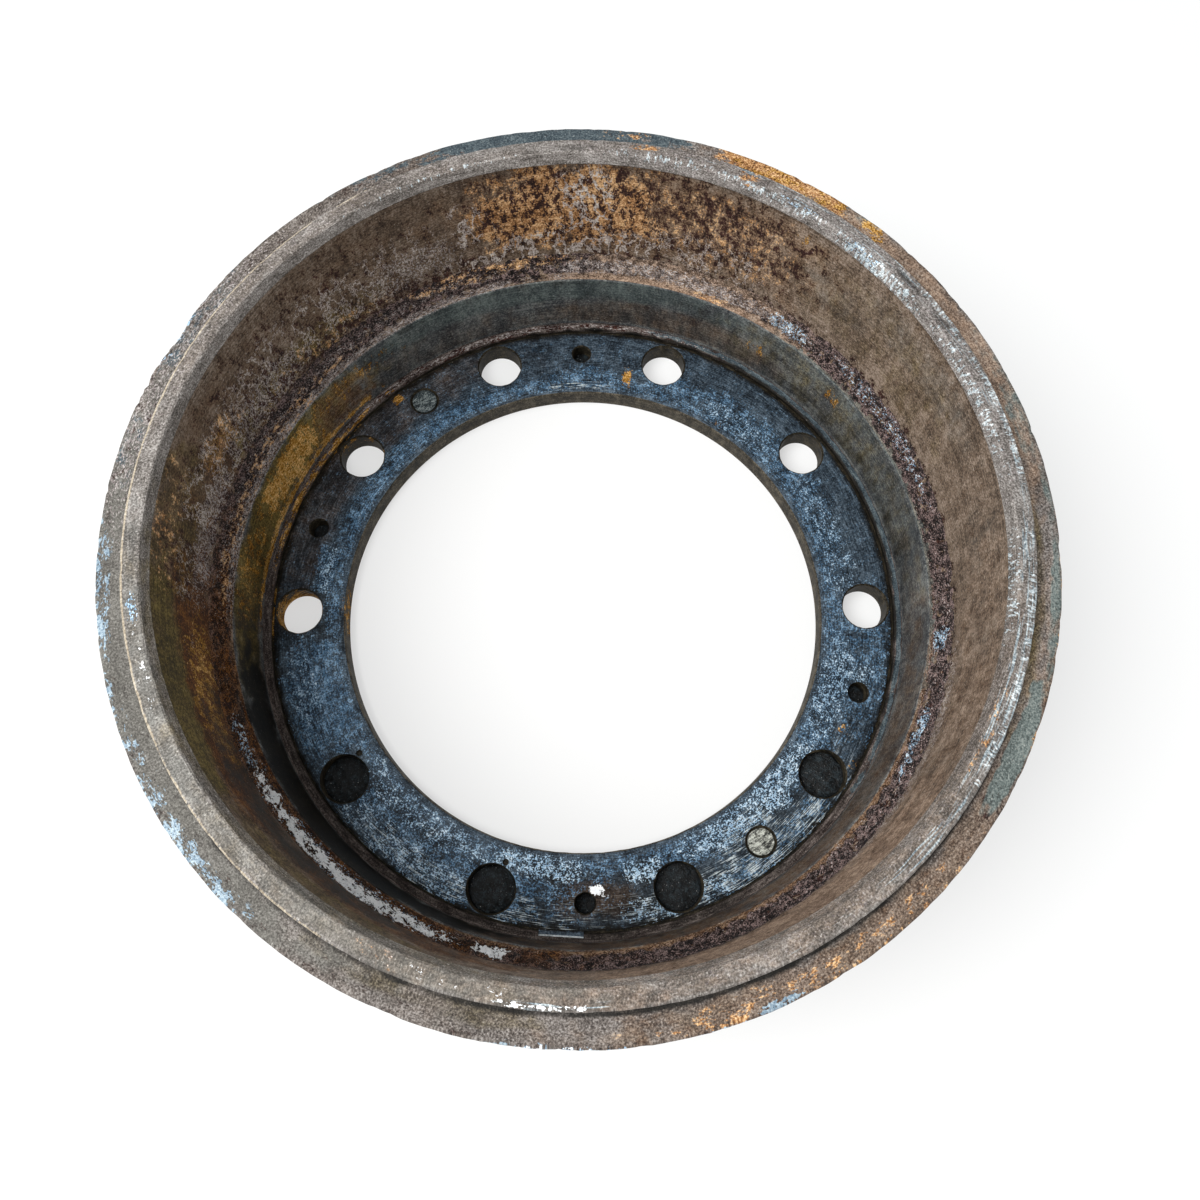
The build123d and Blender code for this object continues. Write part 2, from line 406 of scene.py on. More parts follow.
def roughenIron(mesh, zoneNames, points):
    # every move goes into the metal, so the casting never grows past its nominal skin
    angle, r, z = polarOf(points)
    lumps = np.zeros(len(points))
    for zone, (depth, size) in wear["skin"].items():
        here = zoneNames == zone
        lumps[here] = depth * hollowsAt(points[here], size, 4, *wear["skinHollows"])
    for edgeRadius, edgeHeight, reach, bite, length in wear["edges"]:
        off = np.hypot(r - edgeRadius, z - edgeHeight)
        near = off < 2.5 * reach
        bites = hollowsAt(points[near], length, 7, *wear["edgeBites"])
        lumps[near] += bite * bites * np.exp(-(off[near] / reach) ** 2)
    inner, low, high = wear["torn"]
    for scoopAngle, length, depth in casting["scoops"]:
        halfTurn = length / 3.6  # degrees, a little more than the scoop takes up at the rim
        near = (np.abs(turnFrom(angle, scoopAngle)) < halfTurn) & (r > inner) & (z > low) & (z < high)
        torn = hollowsAt(points[near], wear["tornGrain"], 9, *wear["tornHollows"])
        lumps[near] += wear["tornDepth"] * depth * torn
    sideFrom, sideWear = wear["bandSide"]
    lumps[r > sideFrom] += sideWear
    lumps[z < wear["footTo"]] = 0
    movePoints(mesh, points - vectorsOf(mesh.vertex_normals, "vector") * lumps[:, None])


# Layers of dirt, rust, paint, bare metal, painted shade and painted glints, as patches in each zone: from angle, to
# angle, low, high, strength.
# Low and high are mm across the zone: radius on the hub face, lip and rim, height on the neck, shoulder and track.
# The rim's side carries on from its top, past 222.4.
stains = {
    "umber": dict(neck=[(14, 62, 14, 46, 0.5), (62, 100, 14, 46, 0.3), (200, 330, 14, 66, 0.55),
        (96, 160, 14, 62, 0.5)], track=[(28, 112, 72, 160, 0.55), (225, 330, 72, 160, 0.3),
        (108, 215, 74, 160, 0.7)], lip=[(110, 235, 193.5, 197, 0.12), (15, 56, 197, 207, 0.3),
        (250, 320, 193, 203, 0.4), (196, 250, 197, 206, 0.45), (70, 130, 197, 207, 0.35), (60, 104, 196, 203, 0.3)],
        rim=[(-36, 30, 206, 224, 0.4), (150, 235, 206, 232, 0.2), (232, 300, 206, 232, 0.46),
        (60, 150, 206, 232, 0.35)], outside=[(0, 360, 0, 140, 0.5)], wheelFace=[(0, 360, 0, 400, 0.4)],
        hubFace=[(66, 150, 158, 184, 0.35), (228, 244, 156, 176, 0.5)]),
    "olive": dict(neck=[(98, 166, 22, 66, 0.85), (-4, 8, 34, 60, 0.35), (324, 390, 20, 64, 0.34)],
        track=[(144, 182, 120, 160, 0.85), (182, 216, 116, 150, 0.5), (88, 128, 78, 106, 0.62),
        (128, 150, 96, 156, 0.45), (-20, 22, 84, 150, 0.3)], lip=[(142, 232, 193, 197.5, 0.36),
        (142, 232, 197, 206, 0.28)], rim=[(200, 232, 206, 216, 0.4), (-8, 20, 206, 213, 0.6),
        (296, 330, 206, 214, 0.5)]),
    "sienna": dict(track=[(138, 186, 72, 132, 1.0), (186, 228, 72, 120, 0.6), (112, 140, 74, 110, 0.35),
        (226, 262, 72, 90, 0.4)], shoulder=[(132, 232, 60, 82, 0.7), (232, 300, 60, 66, 0.3)],
        neck=[(132, 150, 16, 60, 0.3), (232, 280, 40, 66, 0.25)]),
    "film": dict(neck=[(24, 98, 44, 66, 0.75), (-10, 30, 48, 66, 0.35), (96, 120, 50, 66, 0.4),
        (-36, -8, 14, 66, 0.25)], track=[(-24, 6, 116, 150, 0.3), (4, 26, 100, 130, 0.3),
        (306, 330, 100, 150, 0.25)], shoulder=[(300, 380, 62, 66.5, 0.6)], lip=[(196, 205, 195, 204, 0.35),
        (140, 205, 196.5, 207, 0.32), (200, 236, 196.5, 207, 0.3)], rim=[(84, 120, 206, 226, 0.2),
        (118, 205, 206, 224, 0.46), (234, 290, 206, 224, 0.25)]),
    "dust": dict(shoulder=[(12, 62, 62, 67, 0.8), (60, 112, 62, 67, 0.4), (14, 54, 66, 80, 0.62)],
        track=[(228, 292, 84, 160, 0.7), (288, 330, 90, 160, 0.34), (-36, 44, 84, 160, 0.2)],
        lip=[(196, 300, 193, 207, 0.35)], rim=[(232, 330, 208, 226, 0.35), (-36, 36, 206, 222, 0.58)],
        outside=[(0, 360, 0, 400, 0.3)]),
    "grime": dict(lip=[(232, 300, 193, 207, 0.34), (190, 236, 193, 207, 0.52), (60, 150, 197, 207, 0.2),
        (144, 196, 197, 207, 0.42)], rim=[(104, 126, 207, 222, 0.48), (122, 208, 207, 223, 0.7)]),
    # soot is partly painted shade: the black ring in the hub face's groove, the ledge, the dark line on the rim just
    # outside the lip's step, and the dark left side of the neck and track, where the wall shades itself
    "soot": dict(neck=[(150, 224, 14, 66, 1.0), (140, 240, 14, 66, 0.6), (228, 262, 14, 66, 0.4),
        (-44, 34, 14, 36, 0.42), (10, 60, 14, 60, 0.25), (40, 98, 58, 66, 0.35)],
        shoulder=[(150, 230, 62, 80, 0.4), (60, 150, 69, 78, 0.22)], hubFace=[(0, 360, 181.3, 183, 0.85),
        (138, 152, 141, 182, 0.45), (216, 262, 146, 183, 0.55), (60, 140, 156, 183, 0.35), (174, 216, 150, 172, 0.5),
        (262, 300, 150, 183, 0.4)], track=[(160, 212, 70, 112, 0.6), (206, 262, 70, 84, 0.5)],
        lip=[(51, 58, 198, 203, 0.35), (20, 26, 196, 199, 0.45), (-8, 4, 200, 203.5, 0.5),
        (-36, -28, 200, 203, 0.3)], rim=[(180, 324, 206, 209.5, 0.75), (-36, 40, 206, 208.6, 0.6),
        (206, 226, 208, 218, 0.35)], ledge=[(0, 360, 0, 14.6, 0.95), (140, 290, 14, 20.8, 0.4),
        (-60, 60, 13, 18.4, 0.9)], bore=[(0, 360, 2, 12.5, 0.35)]),
    "slate": dict(rim=[(40, 74, 206, 232, 0.95), (75, 90, 216, 230, 0.5), (128, 137, 212, 222, 0.4),
        (126, 140, 208, 222, 0.3), (104, 123, 211, 223, 0.46)], ledge=[(-66, 40, 17.6, 21.4, 1.0)]),
    "paint": dict(rim=[(304, 334, 216.5, 223.5, 0.62), (287, 303.5, 212, 221.8, 0.8), (-30, -6, 212, 225, 0.46),
        (6, 30, 215, 228, 0.34)]),
    "ochre": dict(track=[(41, 71, 86, 156, 0.56), (56, 71, 88, 140, 0.68), (118, 131, 94, 126, 0.36),
        (18, 41, 84, 146, 0.26), (84, 118, 78, 100, 0.25), (132, 150, 120, 156, 0.3)],
        lip=[(42, 47, 201, 206.5, 0.6), (27.5, 30.5, 196, 206, 0.4), (288, 302, 196, 202, 0.24),
        (206, 212, 198, 205, 0.18)], rim=[(240, 282, 211, 226, 0.3), (290, 330, 221, 228, 0.35),
        (44, 50, 215, 222, 0.3), (21, 34, 210, 228, 0.95), (15.5, 20, 212, 226, 0.6)],
        shoulder=[(54, 84, 70, 79, 0.42), (26, 34, 63, 67, 0.4), (96, 150, 62, 72, 0.42)],
        bore=[(0, 360, 0, 14, 0.12)], outside=[(20, 140, 60, 140, 0.22), (200, 330, 30, 140, 0.18)],
        wheelFace=[(60, 250, 0, 400, 0.25)]),
    "gold": dict(neck=[(110, 129, 26, 58, 0.72), (98, 148, 14, 25, 0.98), (92, 128, 40, 60, 0.28),
        (128, 150, 30, 60, 0.42), (1, 4, 44, 56, 0.5), (18, 22, 36, 48, 0.3)], track=[(17, 19.5, 140, 149, 0.5),
        (120, 131, 96, 120, 0.4), (150, 176, 76, 116, 0.46)], rim=[(21, 34, 210, 228, 0.4),
        (15.5, 20, 212, 226, 0.4), (9, 13, 213, 226, 0.6)], hubFace=[(42.2, 44.4, 149.5, 158, 0.98),
        (93, 95.6, 177, 181.5, 0.9), (17.2, 19, 142, 148, 0.4), (53.2, 55, 174.5, 177.5, 0.7),
        (297, 299, 164, 167, 0.5), (291.5, 293.5, 176, 179, 0.5)], bore=[(138, 149, 0, 14, 0.5)],
        ledge=[(138, 150, -2, 13.6, 0.7), (103, 112, 4, 13.6, 0.5), (96, 140, 15, 20, 0.5)],
        wheelFace=[(138, 150, -2, 2, 0.9)]),
    "maroon": dict(shoulder=[(56, 374, 66, 80, 0.55)], track=[(62, 150, 74, 92, 0.5), (206, 330, 74, 84, 0.4),
        (-36, 62, 74, 84, 0.4), (96, 122, 84, 124, 0.36), (140, 150, 90, 140, 0.35), (14, 76, 84, 156, 0.42),
        (76, 140, 84, 150, 0.28)], rim=[(60, 144, 206, 226, 0.16), (160, 250, 212, 232, 0.12),
        (284, 296, 210, 224, 0.26)], ledge=[(20, 130, 15.5, 21, 0.4)], neck=[(60, 100, 30, 46, 0.25)],
        outside=[(0, 360, 0, 400, 0.16)]),
    "frost": dict(shoulder=[(14, 60, 66, 74, 0.5), (60, 150, 62, 67, 0.54), (60, 150, 68, 75, 0.3),
        (-36, 14, 64, 80, 0.1), (262, 330, 63, 80, 0.18)], track=[(74, 90, 84, 116, 0.34),
        (104, 126, 78, 112, 0.36), (126, 148, 78, 104, 0.44), (276, 312, 78, 92, 0.3)],
        lip=[(60, 140, 197, 207, 0.22), (-36, 60, 193, 207, 0.34), (240, 324, 193, 207, 0.18)],
        ledge=[(30, 110, 17.2, 21, 0.36)], rim=[(96, 144, 207, 224, 0.36)], neck=[(284, 330, 14, 30, 0.15)]),
    "veins": dict(track=[(40, 75, 76, 100, 0.95), (70, 74.5, 96, 134, 1.0), (49, 57, 96, 150, 0.95),
        (22, 41, 78, 110, 0.5), (74, 148, 80, 130, 0.5), (276, 312, 76, 92, 0.4)]),
    "bloom": dict(hubFace=[(0, 360, 139, 184, 0.13), (0, 360, 139, 153, 0.42), (-36, 40, 139, 166, 0.42),
        (40, 66, 139, 158, 0.4), (66, 138, 139, 155, 0.5), (150, 176, 142, 180, 0.52), (176, 234, 139, 182, 0.42),
        (234, 330, 139, 162, 0.48), (296, 330, 150, 182, 0.4), (184, 212, 162, 182, 0.46), (255, 290, 168, 182, 0.42),
        (129, 140, 150, 162, 0.56)]),
    "pale": dict(shoulder=[(166, 177, 68, 75, 0.4), (174, 214, 65, 77, 0.42), (312, 316, 66, 74, 0.5),
        (292, 303, 66, 72, 0.5), (-24, 6, 68, 77, 0.26), (12, 20, 66, 74, 0.42)], rim=[(113, 120, 219, 226, 0.5),
        (225, 238, 221, 226, 0.5), (246, 252, 222, 225, 0.36)], lip=[(153, 157, 199, 204, 0.42),
        (18, 24, 196.5, 201, 0.3), (6, 12, 195.5, 199, 0.36)], hubFace=[(129, 139, 151, 158, 0.44),
        (46, 64, 141, 145, 0.5), (4, 24, 144, 160, 0.24), (-36, -4, 146, 166, 0.2), (293, 317, 142, 162, 0.36),
        (255, 294, 141, 160, 0.46), (276, 282, 156, 163, 0.3), (240, 262, 168, 181, 0.4), (242, 250, 147, 160, 0.52),
        (214, 233, 141, 157, 0.5), (184, 212, 165, 181, 0.36), (153, 168, 160, 177, 0.26), (176, 216, 141, 160, 0.3),
        (306, 312, 163, 174, 0.4)]),
    # silver is bare metal in strokes, painted near white as glints along the lip's inner edge
    "silver": dict(lip=[(-30, -4, 195, 199, 0.36), (-4, 14, 194, 199, 0.5), (14, 34, 195.5, 200, 0.4),
        (-30, -12, 202.5, 206.5, 0.5), (-12, 2, 202, 206.5, 0.34), (34, 50, 196, 201, 0.3),
        (286, 324, 202, 206.5, 0.36), (308, 324, 194, 198, 0.34), (64, 92, 196.4, 198.4, 0.28)]),
    "cream": dict(lip=[(84, 178, 205.2, 207.4, 0.95), (168, 208, 205.2, 207.4, 0.6)]),
    "flakes": dict(lip=[(155, 168, 198.4, 203.6, 0.15), (205, 226, 199, 203.6, 0.12), (225, 235, 203.8, 206.4, 0.6)],
        rim=[(226, 236.5, 220.6, 224, 0.5)], shoulder=[(174, 214, 66.5, 75.5, 0.7), (217.3, 223, 66, 74, 0.72)],
        hubFace=[(235.0, 237.8, 158.4, 163.2, 1.0)]),
    "chips": dict(rim=[(168, 193, 215, 225, 0.5), (143, 159, 216, 226, 0.46), (160, 167, 219, 225, 0.36),
        (222, 236, 220, 226, 0.4), (253.5, 258.5, 218, 223.5, 0.7)]),
    "scraped": dict(hubFace=[(240, 292, 166, 183, 0.31), (262, 276, 150, 182, 0.38), (184, 236, 166, 182, 0.22),
        (48, 62, 142, 148, 0.36)], lip=[(270, 326, 198, 207, 0.34), (-36, 40, 199, 207, 0.22),
        (224, 236, 203, 207, 0.36)]),
    "rust": dict(rim=[(232, 292, 206, 232, 0.34), (8, 40, 206, 232, 0.35), (292, 330, 218, 232, 0.5)],
        track=[(10, 78, 78, 160, 0.55), (78, 150, 76, 160, 0.3), (226, 330, 76, 160, 0.32),
        (-36, 12, 78, 160, 0.22)], shoulder=[(205, 325, 60, 65.5, 0.6)], neck=[(205, 290, 14, 66, 0.4),
        (96, 112, 14, 60, 0.5)], lip=[(200, 300, 193, 203, 0.25)], outside=[(0, 360, 0, 400, 0.35)]),
}
patchEdge = {
    "frays": ((11, 1, 0.3), (4, 2, 0.2)),  # noises that fray the edge: size in mm, seed, strength
    "power": 3,                            # of the patch's round corners: 2 makes an ellipse, more is squarer
    "outermost": 1.28, "fade": 0.56,       # where a patch ends and how wide its edge is, in half widths
    "creamFrom": 161.0, "creamFade": 0.5,  # height from which cream lies, so that it stays on the very edge, mm
}
rimCorner = (222.4, 151.5)  # radius and height where the rim's top turns into its side, mm
ledgeCorner = (183.2, 16)   # the same for the ledge's wall and top


def acrossZone(zone, r, z):
    # mm across a zone, as the stains give it
    if zone in ("hubFace", "lip"):
        return r
    if zone == "rim":
        return np.where(z < rimCorner[1], rimCorner[0] + (rimCorner[1] - z), r)
    if zone == "ledge":
        return np.where(z > ledgeCorner[1], z + r - ledgeCorner[0], z)
    return z


def fromMiddle(offset, start, end):
    # 0 in the middle of a range, 1 at its ends
    return np.abs(offset) / ((end - start) / 2)


def paintStains(mesh, zoneNames, points):
    angle, r, z = polarOf(points)
    ragged = sum(noiseAt(points, size, seed) * strength for size, seed, strength in patchEdge["frays"])
    power = patchEdge["power"]
    for layer, patchesByZone in stains.items():
        values = np.zeros(len(points))
        for zone, patches in patchesByZone.items():
            here = zoneNames == zone
            place = acrossZone(zone, r[here], z[here])
            for start, end, low, high, strength in patches:
                along = 0 if end - start >= 360 else fromMiddle(turnFrom(angle[here], (start + end) / 2), start, end)
                across = fromMiddle(place - (low + high) / 2, low, high)
                reach = (along ** power + across ** power) ** (1 / power) + ragged[here]
                cover = strength * np.clip((patchEdge["outermost"] - reach) / patchEdge["fade"], 0, 1)
                values[here] = np.maximum(values[here], cover)
        if layer == "cream":
            values *= np.clip((z - patchEdge["creamFrom"]) / patchEdge["creamFade"], 0, 1)
        mesh.attributes.new(layer, "FLOAT", "POINT").data.foreach_set("value", values.astype(np.float32))


# where a pattern lies on the drum: direction from the axis, and mm along the section
turned = bpy.data.node_groups.new("turnedPlace", "ShaderNodeTree")
turned.interface.new_socket("Vector", in_out="OUTPUT", socket_type="NodeSocketVector")
truestRadius = 0.19  # where lengths round the axis come out as given, m


def fillTurned(tree):
    place = addNode(tree, "TexCoord").outputs["Object"]
    parts = addNode(tree, "SeparateXYZ", {0: place})
    flat = addNode(tree, "CombineXYZ", {0: parts.outputs[0], 1: parts.outputs[1]})
    radius = addNode(tree, "VectorMath", {0: flat}, operation="LENGTH")
    outwards = addNode(tree, "VectorMath", {0: flat}, operation="NORMALIZE")
    profile = addNode(tree, "Math", {0: radius.outputs["Value"], 1: parts.outputs[2]}, operation="ADD")
    lift = addNode(tree, "CombineXYZ", {2: profile})
    out = addNode(tree, "VectorMath", {0: outwards, 1: lift}, operation="ADD")
    tree.links.new(out.outputs[0], tree.nodes.new("NodeGroupOutput").inputs["Vector"])


fillTurned(turned)

# What all finishes share. Casting sand, rust and tool marks really have a grain of 0.1 to 0.4 mm, too fine to show,
# so grain and marks are drawn at about 0.5 to 1.2 mm.
pattern = {
    "edges": {"wide": 11, "small": 4.4, "fine": 0.95},  # ragged edges that layers share, mm
    "strokes": (1.5, 4.4),         # brushed strokes, round and across the lip, mm
    "finestGrain": 0.3,            # smallest detail in any noise, mm
    "detail": 0.68,                # strength of each finer octave of noise against the one before
    "rampSpots": (0.2, 0.5, 0.8),  # tones of hollows, middle and high spots
    "veins": (-16.0, 0.9),         # how fast a vein fades from its middle line, and its level there
    "gate": 5.0,                   # keeps a layer off where its stain is nearly nothing
    "roughSpread": 0.3,            # how much the grain roughens or smooths
    "pits": (0.37, 0.28), "pitDepth": 0.5,  # noise where a pit starts and where it is full; share of the relief
    "specks": (0.69, 0.77), "speckColour": "#CFCAC4",  # the same for the sparkle of clean grains
}

# what each layer looks like: kind of ragged edge, how strongly that edge wanders (below 0 it follows the hollows),
# its width (small is crisp), roughness, how far it stands proud in mm, and colours from hollows to high spots
layerLooks = {
    "umber": ("wide", 1.0, 0.45, 0.72, 0, "#2C2018 #52402F #7A6450"),  # brown oil film, dulls and browns the iron
    "olive": ("wide", -1.3, 0.4, 0.75, 0, "#29230F #524522 #82703C"),  # old oil gone green in the hollows
    "rust": ("small", -1.0, 0.35, 0.85, 0, "#3E2A1B #745842 #A3876A"),  # flash rust, a matt tan bloom
    "sienna": ("wide", 1.1, 0.4, 0.75, 0, "#1B0C03 #48280B #825322"),  # wet rust run through oil, dark and warm
    "film": ("wide", 0.9, 0.45, 0.55, 0, "#2A3132 #4B5352 #6E7773"),  # thin oil film, evens out the grey
    "dust": ("small", 0.9, 0.35, 0.85, 0, "#5C493B #8C7461 #B69F8A"),  # brake dust, matt and pinkish brown
    "grime": ("wide", 0.7, 0.45, 0.65, 0, "#4A4742 #64615B #7E7B74"),  # greasy road dust, smooth
    "soot": ("wide", -1.4, 0.4, 0.6, 0, "#060504 #110F0B #242019"),  # black oily dust, and painted shade in the hub face's groove, on the ledge, under the lip's step and down the neck's left
    "slate": ("ragged", 2.0, 0.12, 0.55, 0.06, "#1F282E #3C474D #626C6E"),  # old dark paint, a crisp blue grey skin
    "paint": ("wide", 1.3, 0.14, 0.6, 0.04, "#3C4240 #5F6865 #858B86"),  # old green grey paint, worn to patches
    "ochre": ("ragged", 2.4, 0.12, 0.9, 0.08, "#4A2C18 #A5774C #E8C292"),  # fresh flaking rust, crisp and bright
    "gold": ("ragged", -2.4, 0.12, 0.9, 0.08, "#4C300C #A87A34 #F2C884"),  # yellow rust, crisp and bright
    "maroon": ("ragged", -2.4, 0.1, 0.85, 0.14, "#150B09 #371F1A #5E4138"),  # thick old rust, crisp red crusts
    "frost": ("fine", 2.4, 0.14, 0.75, 0.06, "#5F5654 #8C8380 #BFB8B4"),  # grey scale of tiny light crystals
    "veins": ("wide", 1.0, 0.1, 0.75, 0.1, "#76675F #AEA29A #DDD5CD"),  # pale cracks where rust blistered
    "scraped": ("marks", 2.4, 0.16, 0.42, 0, "#333E46 #808C92 #CCD4D4"),  # rubbed bare steel, gleams
    "bloom": ("speckled", 2.1, 0.16, 0.5, 0, "#263C50 #4A6A86 #8AABC6"),  # blue temper film in fine specks
    "pale": ("speckled", 2.2, 0.06, 0.5, 0.12, "#7290AB #9DBAD0 #D8E6EE"),  # blue white salts, a little proud
    "silver": ("strokes", 2.6, 0.1, 0.4, 0.05, "#727D83 #AEB8BB #F2F6F6"),  # bare metal in short strokes, its near white partly painted glints
    "cream": ("fine", 0.8, 0.1, 0.8, 0.05, "#857969 #AA9E8B #C6BCAA"),  # clay dust caught along the sharp edge
    "flakes": ("ragged", 2.6, 0.03, 0.5, 0.25, "#F0F4F6 #F8FAFB #FFFFFF"),  # white paint flakes, thick and crisp
    "chips": ("ragged", 2.6, 0.03, 0.5, 0.2, "#5E7384 #8799A6 #B2C1C8"),  # light blue paint chips, crisp
}
# each zone: colours from hollows to high spots, sizes of blotch and grain and length and width of tool marks in mm,
# how much blotches, small patches, grain and marks add, how far they are drawn out round and across, how strong pits
# and bright specks are, roughness, metal, shine, relief in mm, and its layers from the lowest up
zoneLooks = {
    # oiled and heated: dark blue, half metallic, with fine concentric tool marks
    "hubFace": dict(name="turned grey iron, blued by oil", colours="#11161B #333E48 #5A6874", blotch=16, grain=1.2,
        marks=(9, 0.5), gains=(1.0, 0.6, 1.2, 0.8), drawn=(1.3, 0.9), pits=0.2, specks=0.3, rough=0.44, metal=0.3,
        shine=0.15, relief=0.08, layers="soot umber bloom scraped gold pale flakes"),
    # brown grey with close tool marks and hardly any gleam
    "bore": dict(name="bored grey iron, dull", colours="#1F1C16 #3F3A31 #665F52", blotch=8, grain=1.1,
        marks=(16, 0.7), gains=(1.2, 0.6, 1.2, 0.6), drawn=(1, 1), pits=0.5, specks=0.1, rough=0.65, metal=0.2,
        shine=0.15, relief=0.12, layers="soot gold"),
    # a bright thin line: a painted highlight along the chamfer at the flat's edge
    "flatEdge": dict(name="painted highlight on the flat's edge", colours="#7E888C #C4CCCF #F2F5F5", blotch=4, grain=0.8,
        marks=(9, 0.6), gains=(1.0, 0.6, 1.0, 0.4), drawn=(1, 1), pits=0.2, specks=0.3, rough=0.4, metal=0.1,
        shine=0.4, relief=0.05, layers=""),
    # under grease and grit: matt and grainy, darkest where the soot layer paints the groove's shade
    "ledge": dict(name="grimy recess ledge", colours="#221B18 #4C433F #7C726C", blotch=6, grain=0.8, marks=(9, 0.9),
        gains=(1.0, 0.6, 1.2, 0.8), drawn=(2.2, 0.8), pits=0.5, specks=0.3, rough=0.78, metal=0.1, shine=0.15,
        relief=0.2, layers="maroon gold slate frost soot"),
    # smooth dark grey, drawn down the wall
    "neck": dict(name="neck iron under brown film", colours="#26272A #505253 #7E807C", blotch=26, grain=1.2,
        marks=(30, 1.2), gains=(1.0, 0.7, 1.3, 0.6), drawn=(0.8, 1.8), pits=0.5, specks=0.4, rough=0.6, metal=0.12,
        shine=0.12, relief=0.1, layers="umber sienna film olive rust gold frost soot"),
    # rusts undisturbed: brown, rough and lumpy
    "shoulder": dict(name="shoulder under rust", colours="#2A1F1A #62503F #93806F", blotch=6, grain=1.0,
        marks=(10, 1.4), gains=(1.0, 1.0, 1.5, 0.5), drawn=(1.6, 0.8), pits=0.5, specks=0.5, rough=0.8, metal=0.05,
        shine=0.2, relief=0.3, layers="dust rust sienna film maroon ochre frost soot pale flakes"),
    # polished by the shoes: even brown streaks along the wall, fine pits
    "track": dict(name="shoe track under flash rust", colours="#372C23 #716050 #A08F80", blotch=12, grain=1.1,
        marks=(70, 0.9), gains=(0.8, 0.7, 1.3, 0.5), drawn=(0.9, 1.7), pits=0.9, specks=0.55, rough=0.66, metal=0.1,
        shine=0.2, relief=0.12, layers="umber sienna olive film dust rust ochre gold maroon frost veins soot"),
    # kept bare by handling: light warm grey, specks of metal, soft gleam
    "lip": dict(name="worn lip, bare and brushed", colours="#38342F #716B66 #A29D98", blotch=10, grain=0.8,
        marks=(16, 0.7), gains=(0.7, 0.4, 1.3, 0.35), drawn=(1.4, 0.8), pits=0.5, specks=0.6, rough=0.52, metal=0.2,
        shine=0.25, relief=0.1,
        layers="umber olive film dust grime frost scraped silver ochre soot pale cream flakes"),
    # warm grey grain of casting sand, matt
    "rim": dict(name="sand cast band", colours="#322D2A #69625D #98928D", blotch=12, grain=0.8, marks=(26, 2.0),
        gains=(0.6, 0.3, 1.5, 0.3), drawn=(1.6, 0.8), pits=0.7, specks=0.35, rough=0.8, metal=0.04, shine=0.2,
        relief=0.24,
        layers="umber olive film dust rust grime maroon slate paint ochre gold frost soot pale chips flakes"),
    # matt rust brown with coarse lumps
    "outside": dict(name="sand cast outside", colours="#3A2D24 #6F5E4F #9A8A79", blotch=14, grain=1.3, marks=(30, 4),
        gains=(1.0, 0.6, 1.2, 0.2), drawn=(1, 1), pits=0.5, specks=0.2, rough=0.84, metal=0.04, shine=0.2, relief=0.4,
        layers="umber dust rust maroon ochre"),
    # rusty brown with concentric tool marks
    "wheelFace": dict(name="faced wheel side", colours="#332A23 #635549 #8B7C6C", blotch=16, grain=1.2,
        marks=(60, 0.9), gains=(1.0, 0.6, 1.0, 1.2), drawn=(1.6, 0.8), pits=0.4, specks=0.2, rough=0.66, metal=0.15,
        shine=0.25, relief=0.1, layers="umber ochre"),
    # nearly black with a faint gleam
    "holeWall": dict(name="drilled wall, nearly black", colours="#0C0B09 #262219 #474033", blotch=6, grain=1.0,
        marks=(6, 0.8), gains=(1.0, 0.7, 1.2, 0.5), drawn=(1, 1), pits=0.4, specks=0.1, rough=0.6, metal=0.1,
        shine=0.15, relief=0.12, layers="gold"),
    # dark red brown flakes with pale crumbs, slightly glossy in the hollows
    "crust": dict(name="thick rust scale", colours="#070303 #251714 #85716D", blotch=4, grain=0.8, marks=(6, 2),
        gains=(1.0, 1.8, 2.6, 0.2), drawn=(1.2, 1.0), pits=1.0, specks=1.0, rough=0.68, metal=0.15, shine=0.3,
        relief=0.3, layers="rust dust sienna ochre frost soot pale flakes"),
    # black, lumpy, softly glossy: a dark fill painted as the shade seen down the holes
    "holeShade": dict(name="black fill painted as shade in the holes", colours="#020303 #0C0F11 #252E32", blotch=3, grain=0.8, marks=(6, 3),
        gains=(1.4, 1.4, 1.6, 0.1), drawn=(1, 1), pits=0.5, specks=0.6, rough=0.55, metal=0.0, shine=0.25, relief=0.4,
        layers=""),
}


